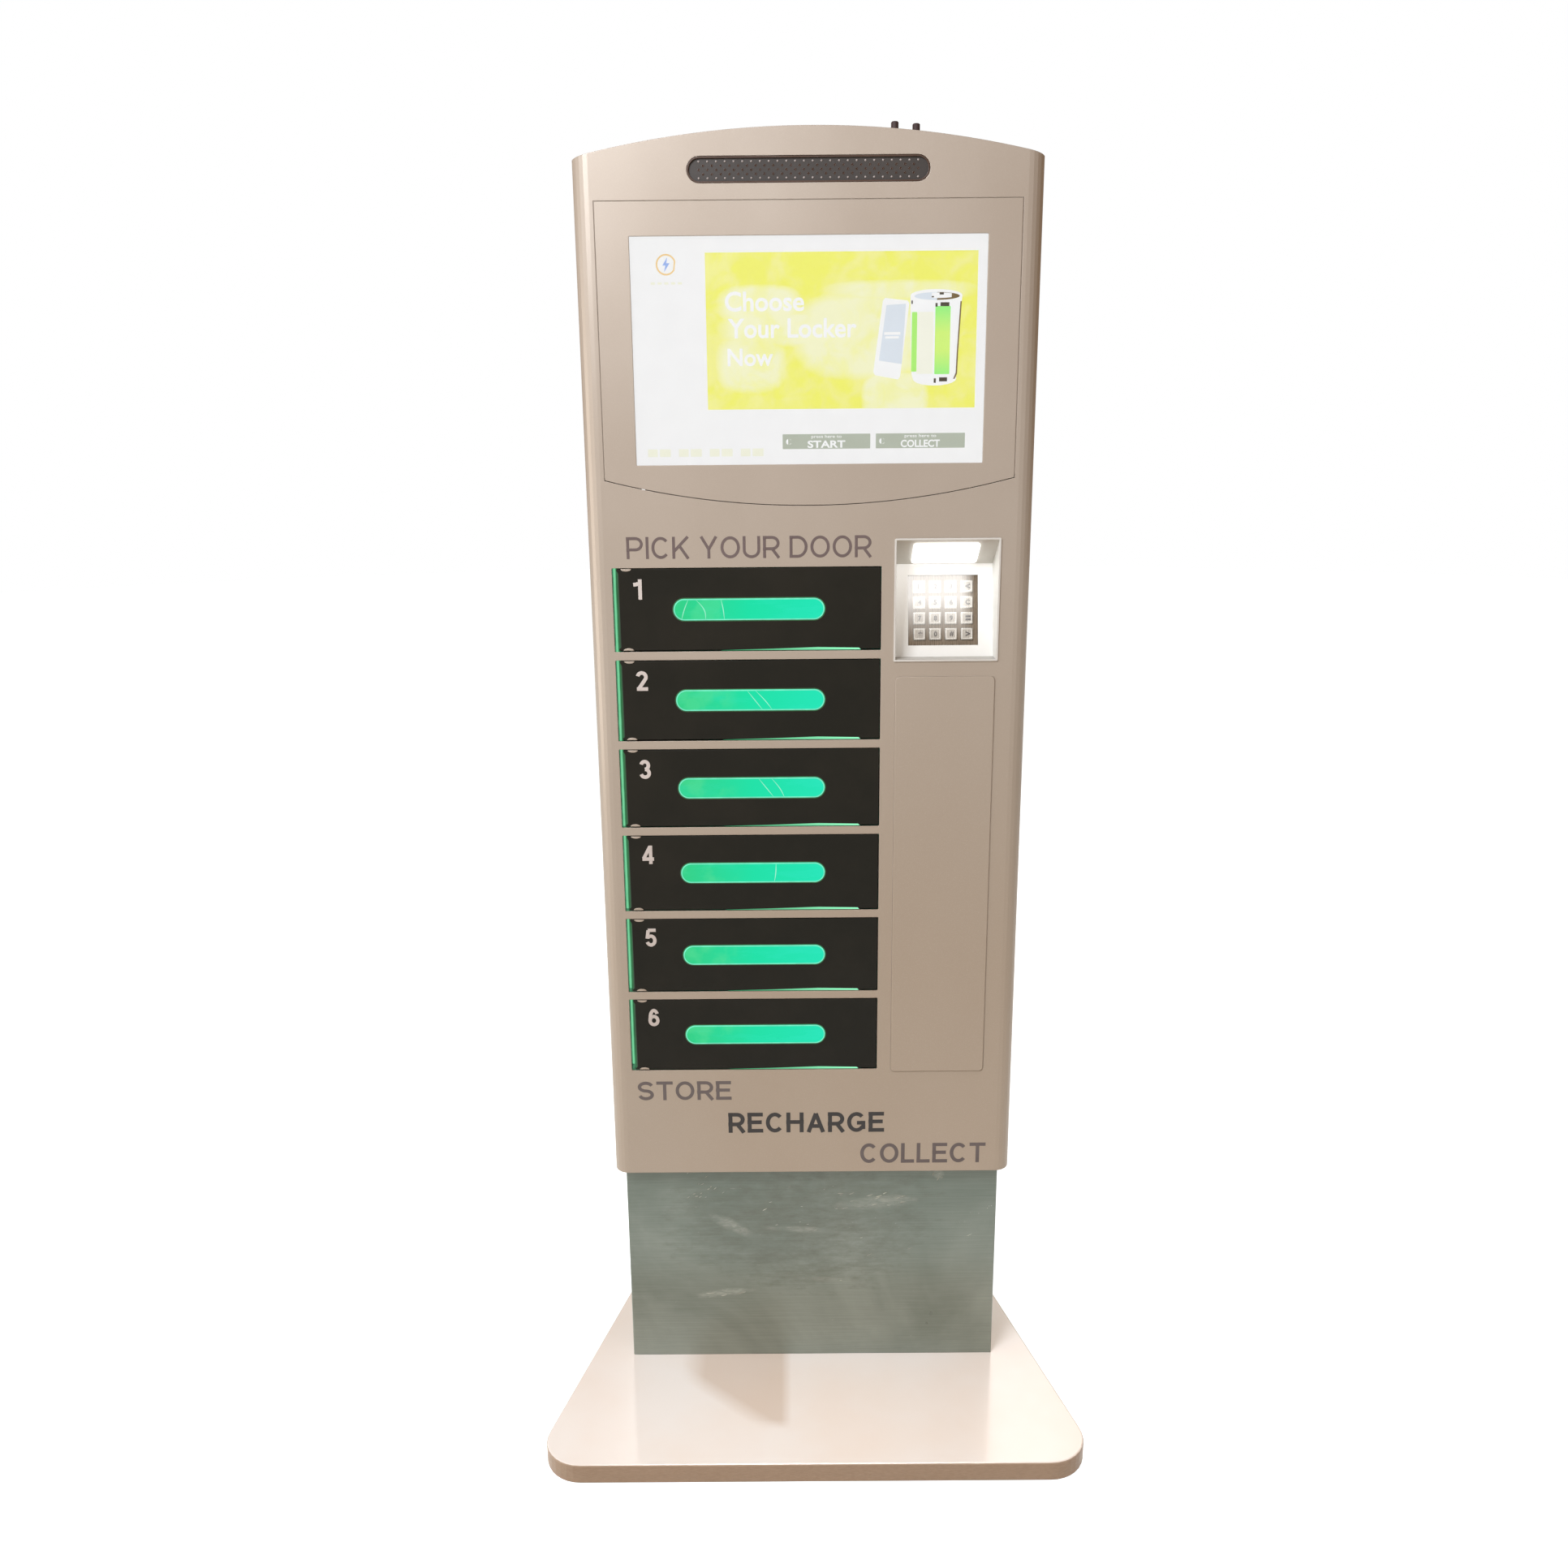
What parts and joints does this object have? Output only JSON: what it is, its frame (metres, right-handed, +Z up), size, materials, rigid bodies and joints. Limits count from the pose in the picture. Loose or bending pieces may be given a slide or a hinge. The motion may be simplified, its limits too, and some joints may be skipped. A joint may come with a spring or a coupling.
{
  "type": "phone charging kiosk",
  "caption": "Floor-standing phone charging kiosk: numbered locker doors, screen, keypad and speaker in an arched steel cabinet on a pedestal and wide base.",
  "frame": {"origin": "centre of the base board's underside, on the floor", "axes": "+Z up, -Y towards the user (doors and screen face -Y), +X to the user's right"},
  "size_m": [0.7, 0.439, 1.6564],
  "materials": {
    "black_paint": "satin",
    "black_plastic": "fine texture",
    "champagne_paint": "satin metallic",
    "cream_laminate": "satin laminate",
    "dark_rubber": "matt",
    "film_steel": "steel under a protective film",
    "green_acrylic": "translucent, lit from behind",
    "green_light": "lit",
    "key_metal": "satin",
    "lamp_lens": "frosted",
    "pad_plate": "dark",
    "screen_glass": "clear",
    "silver_moulding": "painted silver",
    "supply_case": "satin",
    "zinc_steel": "zinc plated"
  },
  "bodies": {
    "cabinet": {"aerial_1": "dark_rubber", "aerial_2": "dark_rubber", "base_plate": "cream_laminate", "bottom_plate": "champagne_paint", "cabinet_shell": "champagne_paint", "controller_box": "black_plastic", "hinge_rod": "zinc_steel", "keypad_housing": "silver_moulding", "keypad_lamp": "lamp_lens", "keypad_plate": "pad_plate", "lcd_monitor": "black_plastic", "led_strip": "green_light", "lock_1": "zinc_steel", "lock_2": "zinc_steel", "lock_3": "zinc_steel", "lock_4": "zinc_steel", "lock_5": "zinc_steel", "lock_6": "zinc_steel", "locker_bank": "zinc_steel", "pedestal_column": "film_steel", "power_inlet": "black_plastic", "power_supply": "supply_case", "rear_hinge_rod": "zinc_steel", "screen_glass": "screen_glass", "screen_panel": "champagne_paint", "side_cover": "champagne_paint", "speaker_bar": "black_plastic", "speaker_grille": "black_plastic", "top_cover": "champagne_paint"},
    "locker_door_1": {"door_1": "black_paint", "window_1": "green_acrylic"},
    "locker_door_2": {"door_2": "black_paint", "window_2": "green_acrylic"},
    "locker_door_3": {"door_3": "black_paint", "window_3": "green_acrylic"},
    "locker_door_4": {"door_4": "black_paint", "window_4": "green_acrylic"},
    "locker_door_5": {"door_5": "black_paint", "window_5": "green_acrylic"},
    "locker_door_6": {"door_6": "black_paint", "window_6": "green_acrylic"},
    "key_row1_col1_button": {"key_row1_col1": "key_metal"},
    "key_row1_col2_button": {"key_row1_col2": "key_metal"},
    "key_row1_col3_button": {"key_row1_col3": "key_metal"},
    "key_row1_col4_button": {"key_row1_col4": "key_metal"},
    "key_row2_col1_button": {"key_row2_col1": "key_metal"},
    "key_row2_col2_button": {"key_row2_col2": "key_metal"},
    "key_row2_col3_button": {"key_row2_col3": "key_metal"},
    "key_row2_col4_button": {"key_row2_col4": "key_metal"},
    "key_row3_col1_button": {"key_row3_col1": "key_metal"},
    "key_row3_col2_button": {"key_row3_col2": "key_metal"},
    "key_row3_col3_button": {"key_row3_col3": "key_metal"},
    "key_row3_col4_button": {"key_row3_col4": "key_metal"},
    "key_row4_col1_button": {"key_row4_col1": "key_metal"},
    "key_row4_col2_button": {"key_row4_col2": "key_metal"},
    "key_row4_col3_button": {"key_row4_col3": "key_metal"},
    "key_row4_col4_button": {"key_row4_col4": "key_metal"},
    "service_door": {"rear_door": "champagne_paint"},
    "service_lock": {"rear_lock": "zinc_steel"},
    "mains_rocker": {"power_switch": "black_plastic"}
  },
  "joints": [
    {"name": "door_1_hinge", "type": "hinge", "parent": "cabinet", "child": "locker_door_1", "pos_m": [-0.218, -0.0215, 1.08936], "axis": [0, 0, -1], "range_deg": [0, 100]},
    {"name": "door_2_hinge", "type": "hinge", "parent": "cabinet", "child": "locker_door_2", "pos_m": [-0.218, -0.0215, 0.97767], "axis": [0, 0, -1], "range_deg": [0, 100]},
    {"name": "door_3_hinge", "type": "hinge", "parent": "cabinet", "child": "locker_door_3", "pos_m": [-0.218, -0.0215, 0.86598], "axis": [0, 0, -1], "range_deg": [0, 100]},
    {"name": "door_4_hinge", "type": "hinge", "parent": "cabinet", "child": "locker_door_4", "pos_m": [-0.218, -0.0215, 0.75428], "axis": [0, 0, -1], "range_deg": [0, 100]},
    {"name": "door_5_hinge", "type": "hinge", "parent": "cabinet", "child": "locker_door_5", "pos_m": [-0.218, -0.0215, 0.64259], "axis": [0, 0, -1], "range_deg": [0, 100]},
    {"name": "door_6_hinge", "type": "hinge", "parent": "cabinet", "child": "locker_door_6", "pos_m": [-0.218, -0.0215, 0.5309], "axis": [0, 0, -1], "range_deg": [0, 100]},
    {"name": "key_row1_col1_press", "type": "slide", "parent": "cabinet", "child": "key_row1_col1_button", "axis": [0, 0.9778, -0.2095], "range_m": [0, 0.0015], "stiffness_N_per_m": 300, "springref_m": -0.001},
    {"name": "key_row1_col2_press", "type": "slide", "parent": "cabinet", "child": "key_row1_col2_button", "axis": [0, 0.9778, -0.2095], "range_m": [0, 0.0015], "stiffness_N_per_m": 300, "springref_m": -0.001},
    {"name": "key_row1_col3_press", "type": "slide", "parent": "cabinet", "child": "key_row1_col3_button", "axis": [0, 0.9778, -0.2095], "range_m": [0, 0.0015], "stiffness_N_per_m": 300, "springref_m": -0.001},
    {"name": "key_row1_col4_press", "type": "slide", "parent": "cabinet", "child": "key_row1_col4_button", "axis": [0, 0.9778, -0.2095], "range_m": [0, 0.0015], "stiffness_N_per_m": 300, "springref_m": -0.001},
    {"name": "key_row2_col1_press", "type": "slide", "parent": "cabinet", "child": "key_row2_col1_button", "axis": [0, 0.9778, -0.2095], "range_m": [0, 0.0015], "stiffness_N_per_m": 300, "springref_m": -0.001},
    {"name": "key_row2_col2_press", "type": "slide", "parent": "cabinet", "child": "key_row2_col2_button", "axis": [0, 0.9778, -0.2095], "range_m": [0, 0.0015], "stiffness_N_per_m": 300, "springref_m": -0.001},
    {"name": "key_row2_col3_press", "type": "slide", "parent": "cabinet", "child": "key_row2_col3_button", "axis": [0, 0.9778, -0.2095], "range_m": [0, 0.0015], "stiffness_N_per_m": 300, "springref_m": -0.001},
    {"name": "key_row2_col4_press", "type": "slide", "parent": "cabinet", "child": "key_row2_col4_button", "axis": [0, 0.9778, -0.2095], "range_m": [0, 0.0015], "stiffness_N_per_m": 300, "springref_m": -0.001},
    {"name": "key_row3_col1_press", "type": "slide", "parent": "cabinet", "child": "key_row3_col1_button", "axis": [0, 0.9778, -0.2095], "range_m": [0, 0.0015], "stiffness_N_per_m": 300, "springref_m": -0.001},
    {"name": "key_row3_col2_press", "type": "slide", "parent": "cabinet", "child": "key_row3_col2_button", "axis": [0, 0.9778, -0.2095], "range_m": [0, 0.0015], "stiffness_N_per_m": 300, "springref_m": -0.001},
    {"name": "key_row3_col3_press", "type": "slide", "parent": "cabinet", "child": "key_row3_col3_button", "axis": [0, 0.9778, -0.2095], "range_m": [0, 0.0015], "stiffness_N_per_m": 300, "springref_m": -0.001},
    {"name": "key_row3_col4_press", "type": "slide", "parent": "cabinet", "child": "key_row3_col4_button", "axis": [0, 0.9778, -0.2095], "range_m": [0, 0.0015], "stiffness_N_per_m": 300, "springref_m": -0.001},
    {"name": "key_row4_col1_press", "type": "slide", "parent": "cabinet", "child": "key_row4_col1_button", "axis": [0, 0.9778, -0.2095], "range_m": [0, 0.0015], "stiffness_N_per_m": 300, "springref_m": -0.001},
    {"name": "key_row4_col2_press", "type": "slide", "parent": "cabinet", "child": "key_row4_col2_button", "axis": [0, 0.9778, -0.2095], "range_m": [0, 0.0015], "stiffness_N_per_m": 300, "springref_m": -0.001},
    {"name": "key_row4_col3_press", "type": "slide", "parent": "cabinet", "child": "key_row4_col3_button", "axis": [0, 0.9778, -0.2095], "range_m": [0, 0.0015], "stiffness_N_per_m": 300, "springref_m": -0.001},
    {"name": "key_row4_col4_press", "type": "slide", "parent": "cabinet", "child": "key_row4_col4_button", "axis": [0, 0.9778, -0.2095], "range_m": [0, 0.0015], "stiffness_N_per_m": 300, "springref_m": -0.001},
    {"name": "rear_door_hinge", "type": "hinge", "parent": "cabinet", "child": "service_door", "pos_m": [-0.2055, 0.2075, 0.97385], "axis": [0, 0, 1], "range_deg": [0, 110]},
    {"name": "rear_lock_turn", "type": "hinge", "parent": "service_door", "child": "service_lock", "pos_m": [0.2, 0.2155, 0.97385], "axis": [0, -1, 0], "range_deg": [0, 90]},
    {"name": "power_switch_rock", "type": "hinge", "parent": "cabinet", "child": "mains_rocker", "pos_m": [0.145, 0.2108, 0.3835], "axis": [-1, 0, 0], "range_deg": [0, 12]}
  ]
}
